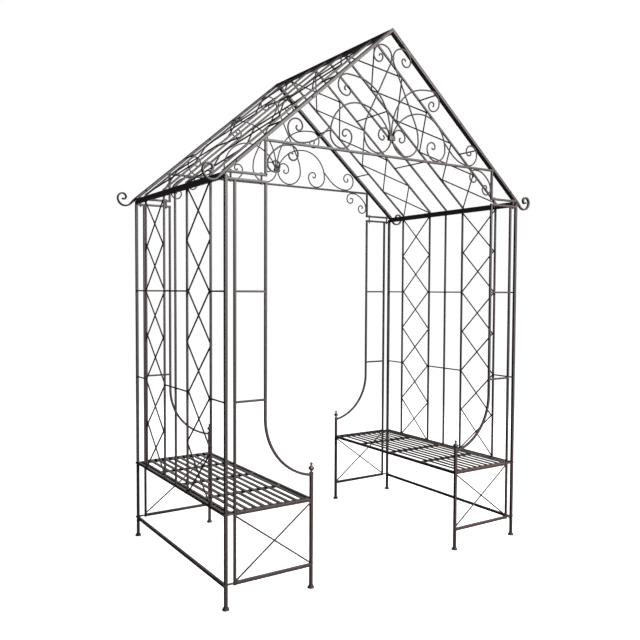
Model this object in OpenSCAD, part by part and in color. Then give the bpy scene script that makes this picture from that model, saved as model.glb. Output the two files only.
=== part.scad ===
// Garden trellis arbour: a gabled roof on four posts with two facing slatted benches.
// Units are millimetres, +Z is up. The origin is on the floor at the middle of the plan.
// X runs across between the benches, -Y is the front, the walkway runs along Y.

/* [Overall size] */
// distance across, centre to centre of the posts
span = 1866; // [1500:2:2300]
// distance from front to back, centre to centre of the posts
depth = 1174; // [900:2:1600]
// height of the post tops
eave_h = 1955; // [1600:5:2400]
// slope of the roof in degrees
pitch = 40.4; // [32:0.2:46]

/* [Sections] */
// side of the main square tube
tube = 15; // [12:1:20]
// side of the light square tube
light = 12; // [10:1:16]
// wall of every tube
wall = 1.2; // [1:0.1:2]
// side of the square bars in the panels
bar = 10; // [8:1:12]
// diameter of the round rod
rod = 8; // [6:0.5:9]
// thickness of the curled rafter ends
curl_t = 9; // [6:0.5:10]

/* [End frames] */
// post centre to the second upright's centre
upright_in = 45; // [36:1:70]
// post centre to the arm tube's centre
arm_in = 202; // [150:2:300]
// underside of the low end rails
low_h = 107; // [60:1:200]
// height where the arm tube meets the front leg
arm_h = 555; // [500:1:650]
// diameter of the foot caps
foot_d = 34; // [28:1:45]
// height of the foot caps
foot_h = 12; // [8:1:20]
// width of the diamond finials
finial_w = 24; // [16:1:30]
// height of the diamond finials
finial_h = 55; // [40:1:70]

/* [Seats] */
// height of the seat surface
seat_h = 445; // [380:1:520]
// post centre to the front leg's centre
seat_d = 456; // [380:2:600]
// number of seat slats
slats = 9; // [6:1:12]
// width of a slat
slat_w = 22; // [16:1:30]
// thickness of a slat
slat_t = 4; // [3:0.5:6]
// cross bars under the slats
cross_bars = 3; // [2:1:5]

/* [Panels] */
// lattice crosses up each side column
side_cells = 6; // [4:1:9]
// lattice crosses down each roof column
roof_cells = 5; // [3:1:8]
// inner edge of a lattice column as a share of half the depth
column_in = 0.261; // [0.2:0.005:0.35]
// outer edge of a lattice column as a share of half the depth
column_out = 0.733; // [0.6:0.005:0.85]

/* [Fasteners] */
// bolt diameter
bolt_d = 6; // [5:0.5:8]
// clearance of a bolt in its hole
bolt_gap = 0.4; // [0.2:0.1:1]

/* [Hidden] */
$fn = 48;

steel = [0.16, 0.13, 0.12];
px = span / 2;                 // post centre, across
py = depth / 2;                // post centre, along
inner_y = py - tube / 2;       // inner face of posts, legs and end rails
upright_x = px - upright_in;
arm_x = px - arm_in;
leg_x = px - seat_d;
frame_z = seat_h - slat_t;     // top of the seat frame
panel_top = eave_h - tube;     // underside of the side panel's top rail
top_bar_z = eave_h - 22;       // underside of the end frame's top bar
rung_z = [for (i = [1, 2]) frame_z + (panel_top - frame_z) * i / 3];
yi = column_in * py;
yo = column_out * py;
bars_y = [-yo, -yi, 0, yi, yo];
lay = rod / 2 + 0.15;          // half the distance between two layers of crossing rods

// seat
back_gap = tube * 0.77;        // panel rail to the seat's back rail
back_x = px - tube / 2 - back_gap - tube / 2;
slat_room = back_x - leg_x - tube;
slat_gap = (slat_room - slats * slat_w) / (slats + 1);
cross_y = [for (i = [1:cross_bars]) -py + depth * i / (cross_bars + 1)];

// arm hoop: a large bend from upright to level at the leg
hoop_r = 1.185 * (arm_x - leg_x);
hoop_a = acos(1 - (arm_x - leg_x) / hoop_r);
hoop_z = arm_h + hoop_r * sin(hoop_a);
leg_top = arm_h + light / 2 + 2;

// roof
rise0 = 20;                    // rafter centre line above the post top
apex_z = eave_h + rise0 + tan(pitch) * px;
half_v = tube / 2 / cos(pitch);
function rafter_z(x) = apex_z - tan(pitch) * x;
ridge_z = rafter_z(tube / 2);
s_ridge = tube / cos(pitch);
s_eave = px / cos(pitch);
side_y = inner_y - tube / 2;   // centre of the roof panel's side rails
roof_rung = [for (i = [1, 2]) s_ridge + (s_eave - s_ridge) * i / 3];
curl_s = (px + 14) / cos(pitch);
curl_taper = 34;

// gable
foot_bar_z = eave_h + 10;      // underside of the short bars under the risers
tie_z = rafter_z(arm_x + light / 2 + 9) - half_v;
tie_top = tie_z + light;
sink = 0.05;                   // welded rods bed this far into what they touch
bead = 0.8;                    // how much thicker a bead is than the rod
bead_gap = 0.3;                // a rod's end stops this far short of the middle of its bead
hole_d = bolt_d + bolt_gap;
head_h = 4;
nut_h = 5;
bolt_low = low_h + tube / 2;
bolt_seat = frame_z - tube / 2;
gable_bolt_x = [arm_x + 22, (upright_x + px) / 2 - 2];
roof_bolt_s = [90, s_eave * 0.515, s_eave - 70];
seat_bolt_x = [leg_x + 60, back_x - 60];
seat_bolt_y = [for (i = [0:cross_bars]) -py + depth * (i + 0.5) / (cross_bars + 1)]; // between cross bars

// ---- helpers

module at_left() mirror([1, 0, 0]) children();
module at_back() mirror([0, 1, 0]) children();

// a square tube along Z, open at both ends
module tube_z(a, z0, z1) {
  translate([0, 0, z0]) linear_extrude(z1 - z0) difference() {
    square(a, center = true);
    square(a - 2 * wall, center = true);
  }
}

// a square tube along X between two stations
module tube_x(a, x0, x1) {
  translate([x0, 0, 0]) rotate([90, 0, 90]) linear_extrude(x1 - x0) difference() {
    square(a, center = true);
    square(a - 2 * wall, center = true);
  }
}

// a square tube along Y between two stations
module tube_y(a, y0, y1) {
  translate([0, y1, 0]) rotate([90, 0, 0]) linear_extrude(y1 - y0) difference() {
    square(a, center = true);
    square(a - 2 * wall, center = true);
  }
}

// a bent round rod: straights [0, length] and bends [radius, angle], with a bead at each join
module run(path, i = 0) {
  if (i < len(path)) {
    r = path[i][0];
    a = path[i][1];
    if (r == 0) {
      translate([0, bead_gap, 0]) rotate([-90, 0, 0]) cylinder(d = rod, h = a - 2 * bead_gap);
      translate([0, a, 0]) join_run(path, i);
    } else {
      g = bead_gap / r * 180 / PI;
      mirror([a < 0 ? 1 : 0, 0, 0]) translate([-r, 0, 0]) rotate([0, 0, g])
        rotate_extrude(angle = abs(a) - 2 * g) translate([r, 0]) circle(d = rod);
      c = a > 0 ? r : -r;
      translate([-c, 0, 0]) rotate([0, 0, a]) translate([c, 0, 0]) join_run(path, i);
    }
  }
}

module join_run(path, i) {
  sphere(d = rod + bead);
  run(path, i + 1);
}

// a flat strip rolled up through the same kind of path
module curl(path, i = 0) {
  if (i < len(path)) {
    r = path[i][0];
    translate([-r, 0, 0]) {
      rotate_extrude(angle = path[i][1]) translate([r, 0]) square([curl_t, tube], center = true);
      rotate([0, 0, path[i][1]]) translate([r, 0, 0]) curl(path, i + 1);
    }
  }
}

// starts a run in the gable's plane at p = [x, z], heading h degrees up from +X
module from(p, h, y = 0) {
  translate([p[0], y, p[1]]) rotate([0, 90 - h, 0]) rotate([90, 0, 0]) children();
}

function after(p, h, r, a) = a > 0
  ? [p[0] + r * (sin(h + a) - sin(h)), p[1] + r * (cos(h) - cos(h + a))]
  : [p[0] + r * (sin(h) - sin(h + a)), p[1] + r * (cos(h + a) - cos(h))];

// two layers of bent rod crossing between u = u0..u1, with n crosses from v0 to v1
module lattice(u0, u1, v0, v1, n) {
  c = (v1 - v0) / n;
  translate([0, u0, v0]) for (m = [0, 1])
    translate([m == 0 ? lay : -lay, 0, 0]) zigzag(u1 - u0, c, n, m);
}

// one bent rod, a straight cut off level at each bend
module zigzag(w, c, n, m) {
  ang = atan2(w, c);
  if (n > 0) {
    intersection() {
      translate([-rod, 0, 0]) cube([rod * 2, w, c]);
      translate([0, m == 0 ? 0 : w, 0]) rotate([m == 0 ? -ang : ang, 0, 0])
        translate([0, 0, -rod * 2]) cylinder(d = rod, h = sqrt(w * w + c * c) + rod * 4);
    }
    translate([0, 0, c]) zigzag(w, c, n - 1, 1 - m);
  }
}

// a bolt along +X from x = 0 (under the head) to x = grip (under the nut)
module bolt(grip) {
  rotate([0, 90, 0]) {
    translate([0, 0, -head_h]) cylinder(d = bolt_d * 1.9, h = head_h, $fn = 6);
    cylinder(d = bolt_d, h = grip + nut_h + 3);
    translate([0, 0, grip]) cylinder(d = bolt_d * 1.9, h = nut_h, $fn = 6);
  }
}

module drill(len) {
  translate([-30, 0, 0]) rotate([0, 90, 0]) cylinder(d = hole_d, h = len + 60);
}

// ---- where the bolts run, for the front right corner or the right half

module frame_bolt_places() {
  for (z = [bolt_low, bolt_seat]) translate([upright_x - light / 2, -py, z]) children();
}

module gable_bolt_places() {
  for (x = gable_bolt_x) translate([x, -py, foot_bar_z + light]) rotate([0, 90, 0]) children();
}

module roof_bolt_places() {
  for (s = roof_bolt_s)
    translate([s * cos(pitch), -py - tube / 2, apex_z - s * sin(pitch)])
      rotate([0, pitch, 0]) rotate([0, 0, 90]) children();
}

module seat_end_places() {
  for (x = seat_bolt_x) translate([x, -py - tube / 2, bolt_seat]) rotate([0, 0, 90]) children();
}

module seat_back_places() {
  for (y = seat_bolt_y)
    translate([px + tube / 2, y, bolt_seat]) rotate([0, 0, 180]) children();
}

// ---- posts, side panels

module post() color(steel) difference() {
  translate([px, -py, 0]) tube_z(tube, foot_h, eave_h);
  frame_bolt_places() drill(upright_in + tube);
}

module side_rails() color(steel) difference() {
  translate([px, 0, 0]) {
    for (z = [eave_h - tube / 2, frame_z - tube / 2, low_h - 7 + tube / 2])
      translate([0, 0, z]) tube_y(tube, -inner_y, inner_y);
  }
  seat_back_places() drill(tube + back_gap + tube);
}

module cross_rod(y0, y1) {
  translate([0, y1, 0]) rotate([90, 0, 0]) cylinder(d = rod, h = y1 - y0);
}

// the rods that join posts and bars at a third and two thirds of a panel
module rung_set(edge) {
  cross_rod(-edge, -yo - bar / 2);
  cross_rod(-yi + bar / 2, -bar / 2);
  cross_rod(bar / 2, yi - bar / 2);
  cross_rod(yo + bar / 2, edge);
}

module side_bars() color(steel) translate([px, 0, 0]) {
  for (y = bars_y) translate([-bar / 2, y - bar / 2, frame_z]) cube([bar, bar, panel_top - frame_z]);
  for (z = rung_z) translate([0, 0, z]) rung_set(inner_y);
}

module side_lattice() color(steel) translate([px, 0, 0])
  for (s = [-1, 1])
    lattice(min(s * yi, s * yo) + bar / 2, max(s * yi, s * yo) - bar / 2, frame_z, panel_top, side_cells);

// ---- end frames

module upright() color(steel) difference() {
  translate([upright_x, -py, 0]) tube_z(light, low_h, top_bar_z);
  frame_bolt_places() drill(upright_in + tube);
}

module arm() color(steel) difference() {
  translate([arm_x, -py, 0]) {
    tube_z(light, hoop_z, top_bar_z);
    translate([-hoop_r, 0, hoop_z]) rotate([90, 0, 0])
      rotate([0, 0, -hoop_a]) rotate_extrude(angle = hoop_a) translate([hoop_r, 0]) difference() {
        square(light, center = true);
        square(light - 2 * wall, center = true);
      }
  }
  translate([leg_x - tube, -py - tube, 0]) cube([tube * 1.5, tube * 2, eave_h / 2]);
}

module leg() color(steel) translate([leg_x, -py, 0]) tube_z(tube, foot_h, leg_top);

module end_rails() color(steel) difference() {
  translate([0, -py, 0]) {
    translate([0, 0, top_bar_z + light / 2]) tube_x(light, arm_x - light / 2, px - tube / 2);
    for (z = rung_z)
      translate([arm_x + light / 2, -bar / 2, z - bar / 2]) cube([arm_in - upright_in - light, bar, bar]);
    for (z = [frame_z - tube / 2, low_h + tube / 2])
      translate([0, 0, z]) tube_x(tube, leg_x + tube / 2, upright_x - light / 2);
  }
  gable_bolt_places() drill(light * 2 + 40);
  seat_end_places() drill(tube * 2);
}

module brace() color(steel) translate([0, -py, 0]) rotate([0, 0, -90])
  lattice(leg_x + tube / 2, upright_x - light / 2, low_h + tube, frame_z - tube, 1);

module foot_cap() color(steel) cylinder(d1 = foot_d, d2 = foot_d * 0.8, h = foot_h);

module taper(a, b, h) {
  linear_extrude(h, scale = b / a) square(a, center = true);
}

// a square cap, a diamond and a small tip, as [share of the width, share of the height]
finial_steps = [[0.5, 0.09], [0.25, 0.16], [1, 0.45], [0.25, 0.71], [0.5, 0.85], [0.12, 1]];

module finial() color(steel) {
  translate([-tube / 2 - 1, -tube / 2 - 1, 0]) cube([tube + 2, tube + 2, finial_steps[0][1] * finial_h]);
  for (i = [1:len(finial_steps) - 1]) {
    a = finial_steps[i - 1];
    b = finial_steps[i];
    translate([0, 0, a[1] * finial_h])
      taper(a[0] * finial_w, b[0] * finial_w, (b[1] - a[1]) * finial_h);
  }
}

// ---- seats

module seat_rails() color(steel) difference() {
  for (x = [back_x, leg_x]) translate([x, 0, frame_z - tube / 2]) tube_y(tube, -inner_y, inner_y);
  seat_back_places() drill(tube + back_gap + tube);
}

module seat_cross() color(steel) difference() {
  union() {
    for (s = [-1, 1]) translate([0, s * side_y, frame_z - tube / 2])
      tube_x(tube, leg_x + tube / 2, back_x - tube / 2);
    for (y = cross_y) translate([0, y, frame_z - light / 2])
      tube_x(light, leg_x + tube / 2, back_x - tube / 2);
  }
  seat_end_places() drill(tube * 2);
  at_back() seat_end_places() drill(tube * 2);
}

module seat_slats() color(steel)
  for (i = [0:slats - 1])
    translate([leg_x + tube / 2 + slat_gap + i * (slat_w + slat_gap), -inner_y, frame_z])
      cube([slat_w, 2 * inner_y, slat_t]);

// ---- roof panels, in a frame with X down the slope from the apex line

module down_slope() translate([0, 0, apex_z]) rotate([0, pitch, 0]) children();

module rail_boxes() {
  translate([0, -py * 2, ridge_z - tube / 2]) cube([tube, py * 4, tube]);
  translate([px - tube / 2, -py * 2, eave_h]) cube([tube, py * 4, tube]);
  translate([-tube * 4, -py * 2, ridge_z - tube * 4]) cube([tube * 4, py * 4, tube * 8]);
  translate([px + tube / 2, -py * 2, eave_h - tube * 4]) cube([tube * 6, py * 4, tube * 8]);
}

module roof_rails() color(steel) {
  translate([tube / 2, 0, ridge_z]) tube_y(tube, -inner_y, inner_y);
  translate([px, 0, eave_h + tube / 2]) tube_y(tube, -inner_y, inner_y);
}

module roof_sides() color(steel) difference() {
  down_slope() for (s = [-1, 1]) translate([0, s * side_y, 0]) tube_x(tube, 0, s_eave + tube);
  rail_boxes();
  roof_bolt_places() drill(tube * 2);
  at_back() roof_bolt_places() drill(tube * 2);
}

module roof_bars() color(steel) difference() {
  down_slope() {
    for (y = bars_y) translate([0, y - bar / 2, -bar / 2]) cube([s_eave + tube, bar, bar]);
    for (s = roof_rung) translate([s, 0, 0]) rung_set(inner_y - tube);
  }
  rail_boxes();
}

module roof_lattice() color(steel) difference() {
  down_slope() rotate([0, 90, 0])
    for (s = [-1, 1])
      lattice(min(s * yi, s * yo) + bar / 2, max(s * yi, s * yo) - bar / 2, s_ridge - 2, s_eave, roof_cells);
  rail_boxes();
}

// ---- gables

module rafter_solid() {
  translate([0, -py, 0]) down_slope()
    translate([-tube * 2, -tube, -tube / 2]) cube([curl_s + tube * 2, tube * 2, tube]);
}

module rafter() color(steel) difference() {
  translate([0, -py, 0]) {
    down_slope() {
      tube_x(tube, -tube * 2, curl_s);
      rotate([90, 0, 0]) translate([0, 0, -tube / 2]) linear_extrude(tube) polygon([
        [curl_s, -tube / 2], [curl_s + curl_taper, -tube / 2],
        [curl_s + curl_taper, -tube / 2 + curl_t], [curl_s, tube / 2]
      ]);
      translate([curl_s + curl_taper, 0, (curl_t - tube) / 2]) rotate([90, 0, 0]) rotate([0, 0, -90])
        curl([[45, pitch], [42, 90], [28, 90], [20, 90], [13, 90], [9, 70]]);
    }
  }
  translate([-px, -py - tube, apex_z - tube * 6]) cube([px, tube * 2, tube * 8]);
  roof_bolt_places() drill(tube * 2);
}

module tie_bar() color(steel) difference() {
  translate([0, -py, tie_z + light / 2]) tube_x(light, -px, px);
  rafter_solid();
  at_left() rafter_solid();
  for (s = [0, 1]) mirror([s, 0, 0])
    translate([0, -py, 0]) down_slope() translate([0, -tube, 0]) cube([curl_s * 2, tube * 2, px]);
}

module riser() difference() {
  translate([0, -py, 0]) {
    translate([arm_x, 0, 0]) tube_z(light, foot_bar_z + light, tie_z);
    translate([0, 0, foot_bar_z + light / 2]) tube_x(light, arm_x - light / 2, px + tube);
  }
  rafter_solid();
  translate([0, -py, 0]) down_slope() translate([0, -tube, 0]) cube([curl_s * 2, tube * 2, px]);
  gable_bolt_places() drill(light * 2 + 40);
}

module risers() color(steel) {
  riser();
  at_left() riser();
}

// scrollwork: centre lines keep half a rod clear of the tie bar and the rafters
base_z = tie_top + rod / 2 - sink;
nx = sin(pitch);
nz = cos(pitch);
reach = apex_z * nz - tube / 2 - rod / 2 + sink;
function spare(p) = reach - nx * p[0] - nz * p[1];
k = ((reach - nz * base_z) / nx - lay) / 720;

lobe = 86.5 * k;
lobe_z = base_z + lobe;
start_z = lobe_z + 6 * k;
lean = 27;
stem_r = 200 * k;
stem = [lay + 2 * lobe - stem_r * (1 - cos(lean)), lobe_z + stem_r * sin(lean)];
aa = (reach - nx * lay) / nz;
bb = (1 + nx) / nz;
top_r = ((lay - stem[0]) * cos(lean) + (aa - stem[1]) * sin(lean)) / (1 - cos(lean) + bb * sin(lean));
top_c = [lay + top_r, aa - bb * top_r];
stem_l = (stem[0] - top_c[0]) * sin(lean) + (top_c[1] - stem[1]) * cos(lean);

petal_1 = after([lay, start_z + 17 * k], 90, 280 * k, -35);
petal_2 = after(petal_1, 55, 220 * k, -45);
petal_3 = after(petal_2, 10, 430 * k, -10);
petal_r = spare(petal_3) / (1 - nz);

loop_1 = after([3 * lay, start_z + 2 * k], 90, 60 * k, -28);
loop_2 = after(loop_1, 62, 211 * k, -62);
loop_3 = after(loop_2, 0, 169 * k, -90);
loop_b = loop_3[1] - base_z;

branch_0 = after(loop_2, 0, 169 * k, -77);
branch_l = 70 * k;
branch_1 = [branch_0[0] + branch_l * cos(45), branch_0[1] - branch_l * sin(45)];
branch_r = (branch_1[1] - base_z) / (1 - cos(45));
branch_2 = [branch_1[0] + branch_r * sin(45), base_z];
branch_s = spare(branch_2) / (1 + nz);

module crest_half() {
  from([lay, start_z], -90, -lay)
    run([[0, 6 * k], [lobe, 180], [stem_r, lean], [0, stem_l], [top_r, -180 - lean],
         [0.52 * top_r, -90], [0.46 * top_r, -90], [0.23 * top_r, -90], [0.155 * top_r, -90]]);
  from([lay, start_z], 90, lay)
    run([[0, 17 * k], [280 * k, -35], [220 * k, -45], [430 * k, -10], [petal_r, -90],
         [0.83 * petal_r, -90], [0.44 * petal_r, -90], [0.39 * petal_r, -90],
         [0.23 * petal_r, -90], [0.15 * petal_r, -70]]);
  from([3 * lay, start_z], 90, lay)
    run([[0, 2 * k], [60 * k, -28], [211 * k, -62], [169 * k, -90], [loop_b, -90],
         [62 * k, -90], [34 * k, -90], [22 * k, -90], [13 * k, -90], [9 * k, -70]]);
  from(branch_0, -45, lay - 1)
    run([[0, branch_l], [branch_r, 45], [branch_s, 90], [0.73 * branch_s, 90],
         [0.52 * branch_s, 90], [0.34 * branch_s, 90], [0.21 * branch_s, 90], [0.14 * branch_s, 60]]);
  from([3 * lay, start_z], 90, -lay)
    run([[0, 2 * k], [36 * k, -90], [38 * k, -90], [24 * k, -90], [13 * k, -90], [9 * k, -70]]);
}

module crest() color(steel) translate([0, -py, 0]) {
  crest_half();
  at_left() crest_half();
  translate([-4 * lay - 2, -2 * lay - 2, start_z - 20 * k]) cube([8 * lay + 4, 4 * lay + 4, 22 * k]);
  translate([-2 * lay - 1, -2 * lay - 1, top_c[1] - 5]) cube([4 * lay + 2, 2 * lay, 10]);
}

// corner scrolls between the tie bar and the risers
bracket_1 = after([12, 0], 0, 100, -35);
bracket_2 = after(bracket_1, -35, 190, -15);
bracket_3 = after(bracket_2, -50, 70, -40);

module bracket() {
  p = [arm_x - light / 2 - rod / 2 + sink - bracket_3[0], tie_z - rod / 2 + sink];
  translate([0, -py, 0]) {
    from(p, 0)
      run([[0, 12], [100, -35], [190, -15], [70, -40], [34, -90], [30, -90], [22, -90], [12, -90], [9, -60]]);
    from(p, 180)
      run([[40, 90], [28, 90], [22, 90], [13, 90], [9, 60]]);
  }
}

module brackets() color(steel) {
  bracket();
  at_left() bracket();
}

// ---- small parts

module four() {
  children();
  at_left() children();
  at_back() children();
  at_left() at_back() children();
}

module foot_caps() color(steel) four() {
  translate([px, -py, 0]) foot_cap();
  translate([leg_x, -py, 0]) foot_cap();
}

module finials() color(steel) four() translate([leg_x, -py, leg_top]) finial();

module tube_caps() color(steel) four() {
  translate([px - tube / 2, -py - tube / 2, eave_h]) cube([tube, tube, 2]);
  translate([upright_x - light / 2, -py - light / 2, low_h - 2]) cube([light, light, 2]);
}

// each bolt with the sleeve that keeps its two tubes apart
module sleeve(d, len) difference() {
  rotate([0, 90, 0]) cylinder(d = d, h = len);
  rotate([0, 90, 0]) translate([0, 0, -1]) cylinder(d = bolt_d, h = len + 2);
}

module frame_bolts() color(steel) four() frame_bolt_places() {
  bolt(upright_in + light / 2 + tube / 2);
  translate([light, 0, 0]) sleeve(bolt_d * 1.5, upright_in - light / 2 - tube / 2);
}

module gable_bolts() color(steel) four() gable_bolt_places() {
  bolt(foot_bar_z + light - top_bar_z);
  translate([light, 0, 0]) sleeve(bolt_d * 1.7, foot_bar_z - top_bar_z - light);
}

module roof_bolts() color(steel) four() roof_bolt_places() bolt(2 * tube);

module seat_bolts() color(steel) {
  four() seat_end_places() bolt(2 * tube);
  for (s = [0, 1]) mirror([s, 0, 0]) seat_back_places() {
    bolt(2 * tube + back_gap);
    translate([tube, 0, 0]) sleeve(bolt_d * 1.7, back_gap);
  }
}

// ---- the assembly

post();  // post_front_right
at_back() post();  // post_back_right
at_left() post();  // post_front_left
at_left() at_back() post();  // post_back_left
side_rails();  // side_rails_right
at_left() side_rails();  // side_rails_left
side_bars();  // side_bars_right
at_left() side_bars();  // side_bars_left
side_lattice();  // side_lattice_right
at_left() side_lattice();  // side_lattice_left
union() { upright(); at_back() upright(); }  // uprights_right
at_left() { upright(); at_back() upright(); }  // uprights_left
arm();  // arm_front_right
at_back() arm();  // arm_back_right
at_left() arm();  // arm_front_left
at_left() at_back() arm();  // arm_back_left
leg();  // leg_front_right
at_back() leg();  // leg_back_right
at_left() leg();  // leg_front_left
at_left() at_back() leg();  // leg_back_left
end_rails();  // end_rails_front_right
at_back() end_rails();  // end_rails_back_right
at_left() end_rails();  // end_rails_front_left
at_left() at_back() end_rails();  // end_rails_back_left
union() { brace(); at_back() brace(); }  // braces_right
at_left() { brace(); at_back() brace(); }  // braces_left
finials();
foot_caps();
tube_caps();
seat_rails();  // seat_rails_right
at_left() seat_rails();  // seat_rails_left
seat_cross();  // seat_cross_right
at_left() seat_cross();  // seat_cross_left
seat_slats();  // seat_slats_right
at_left() seat_slats();  // seat_slats_left
rafter();  // rafter_front_right
at_left() rafter();  // rafter_front_left
at_back() rafter();  // rafter_back_right
at_left() at_back() rafter();  // rafter_back_left
tie_bar();  // tie_bar_front
at_back() tie_bar();  // tie_bar_back
risers();  // risers_front
at_back() risers();  // risers_back
crest();  // crest_front
translate([0, depth, 0]) crest();  // crest_back
brackets();  // brackets_front
translate([0, depth, 0]) brackets();  // brackets_back
roof_rails();  // roof_rails_right
at_left() roof_rails();  // roof_rails_left
roof_sides();  // roof_sides_right
at_left() roof_sides();  // roof_sides_left
roof_bars();  // roof_bars_right
at_left() roof_bars();  // roof_bars_left
roof_lattice();  // roof_lattice_right
at_left() roof_lattice();  // roof_lattice_left
frame_bolts();
gable_bolts();
roof_bolts();
seat_bolts();
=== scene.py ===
import math

import bmesh
import bpy
from mathutils import Matrix, Vector


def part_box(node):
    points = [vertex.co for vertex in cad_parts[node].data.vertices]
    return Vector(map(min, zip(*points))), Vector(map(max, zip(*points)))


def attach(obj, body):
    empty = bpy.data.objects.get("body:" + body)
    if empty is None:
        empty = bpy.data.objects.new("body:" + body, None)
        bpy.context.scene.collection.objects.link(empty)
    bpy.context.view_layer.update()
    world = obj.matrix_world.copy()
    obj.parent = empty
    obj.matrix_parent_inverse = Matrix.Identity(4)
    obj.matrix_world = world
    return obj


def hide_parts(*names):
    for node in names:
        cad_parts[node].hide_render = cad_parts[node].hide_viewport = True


bl_info = {
    "name": "Trellis arbour",
    "version": (1, 0, 0),
    "blender": (4, 5, 0),
    "location": "3D View > Sidebar > Arbour",
    "description": "A steel garden arbour with a gabled trellis roof and two facing benches",
    "category": "Object",
}

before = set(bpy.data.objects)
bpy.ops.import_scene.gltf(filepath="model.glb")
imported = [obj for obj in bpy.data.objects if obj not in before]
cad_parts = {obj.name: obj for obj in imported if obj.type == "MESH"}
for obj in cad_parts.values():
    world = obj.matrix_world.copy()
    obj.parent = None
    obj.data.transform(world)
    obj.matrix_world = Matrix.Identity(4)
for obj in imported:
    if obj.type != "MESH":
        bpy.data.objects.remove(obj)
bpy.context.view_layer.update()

MM = 0.001
UP = Vector((0, 0, 1))
SIDES = {"left": -1, "right": 1}
ENDS = {"front": -1, "back": 1}
ACROSS = (-1, 1, 1)
ENDWISE = (1, -1, 1)


def span_of(node, axis):
    """Lowest and highest place of a CAD node along one axis."""
    low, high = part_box(node)
    return low[axis], high[axis]


def middle_of(node, axis):
    return sum(span_of(node, axis)) / 2


def width_of(node, axis):
    low, high = span_of(node, axis)
    return high - low


# the driving sizes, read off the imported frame
TUBE = width_of("post_front_right", 0)
LIGHT = width_of("uprights_right", 0)
BAR = width_of("side_bars_right", 0)
POST_X = middle_of("post_front_right", 0)
POST_Y = middle_of("post_back_right", 1)
EAVE = span_of("post_front_right", 2)[1]
FOOT = span_of("post_front_right", 2)[0]
UPRIGHT_X = middle_of("uprights_right", 0)
LOW = span_of("uprights_right", 2)[0]
TOP_BAR = span_of("uprights_right", 2)[1]
ARM_X = span_of("arm_front_right", 0)[1] - LIGHT / 2
LEG_X = middle_of("leg_front_right", 0)
LEG_TOP = span_of("leg_front_right", 2)[1]
SEAT_FRAME, PANEL_TOP = span_of("side_bars_right", 2)
SEAT = span_of("seat_slats_right", 2)[1]
SLAT_FIRST, SLAT_LAST = span_of("seat_slats_right", 0)
BACK_X = span_of("seat_rails_right", 0)[1] - TUBE / 2
PANEL_LOW = span_of("side_rails_right", 2)[0]
TIE_LOW, TIE_TOP = span_of("tie_bar_front", 2)
RISER_FOOT = span_of("risers_front", 2)[0]
RIDGE = span_of("roof_rails_right", 2)[1] - TUBE / 2
FOOT_WIDE = span_of("foot_caps", 0)[1] - POST_X

# rods lie in two layers that just clear each other
LAYER_GAP = 0.15 * MM
ROD = (width_of("side_lattice_right", 0) - 2 * LAYER_GAP) / 2
LAYER = ROD / 2 + LAYER_GAP

INNER_Y = POST_Y - TUBE / 2
SIDE_Y = INNER_Y - TUBE / 2

# a lattice column runs between these shares of half the depth
COLUMN_IN = 0.261
COLUMN_OUT = 0.733
BAR_IN = COLUMN_IN * POST_Y
BAR_OUT = COLUMN_OUT * POST_Y
BARS_Y = (-BAR_OUT, -BAR_IN, 0.0, BAR_IN, BAR_OUT)
COLUMN_FOOT = BAR_IN + BAR / 2
PANEL_RISE = PANEL_TOP - SEAT_FRAME
PANEL_THIRDS = [SEAT_FRAME + PANEL_RISE * i / 3 for i in (1, 2)]
SIDE_CELLS = 6
ROOF_CELLS = 5

SLATS = 9
SLAT_WIDE = 22 * MM
SEAT_BAR_SHARES = (-0.5, 0.0, 0.5)
SEAT_BOLT_SHARES = (-0.75, -0.25, 0.25, 0.75)
CAP_THICK = 2 * MM

# the roof's line: the rafters' middle runs this far above the post tops
RAFTER_RISE = 20 * MM
FALL = (RIDGE - EAVE - RAFTER_RISE) / (POST_X - TUBE / 2)
PITCH = math.atan(FALL)
APEX = RIDGE + FALL * TUBE / 2
DOWN = Vector((math.cos(PITCH), 0, -math.sin(PITCH)))
SLOPE_UP = Vector((math.sin(PITCH), 0, math.cos(PITCH)))
SLOPE_RIDGE = TUBE / math.cos(PITCH)
SLOPE_EAVE = POST_X / math.cos(PITCH)
SLOPE_RUN = SLOPE_EAVE - SLOPE_RIDGE
ROOF_THIRDS = [SLOPE_RIDGE + SLOPE_RUN * i / 3 for i in (1, 2)]


# ---- the values a user would change


class ArbourShapes(bpy.types.PropertyGroup):
    tube_corner: bpy.props.FloatProperty(
        name="Tube corner", description="Radius of a square tube's corners",
        default=1.6 * MM, min=0.2 * MM, max=4 * MM, subtype="DISTANCE", unit="LENGTH")
    bar_corner: bpy.props.FloatProperty(
        name="Bar corner", description="Radius of a solid bar's corners",
        default=0.8 * MM, min=0.2 * MM, max=3 * MM, subtype="DISTANCE", unit="LENGTH")
    rod_facets: bpy.props.IntProperty(
        name="Rod facets", description="Faces round a rod", default=12, min=8, max=24)
    bend_radius: bpy.props.FloatProperty(
        name="Lattice bend", description="Radius of the bends in the lattice rods",
        default=7 * MM, min=4 * MM, max=20 * MM, subtype="DISTANCE", unit="LENGTH")
    curl_thickness: bpy.props.FloatProperty(
        name="Eave curl", description="Thickness of the curled rafter ends",
        default=9 * MM, min=5 * MM, max=12 * MM, subtype="DISTANCE", unit="LENGTH")
    weld_size: bpy.props.FloatProperty(
        name="Weld bead", description="Length of a weld bead along its joint",
        default=9 * MM, min=4 * MM, max=16 * MM, subtype="DISTANCE", unit="LENGTH")


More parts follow.
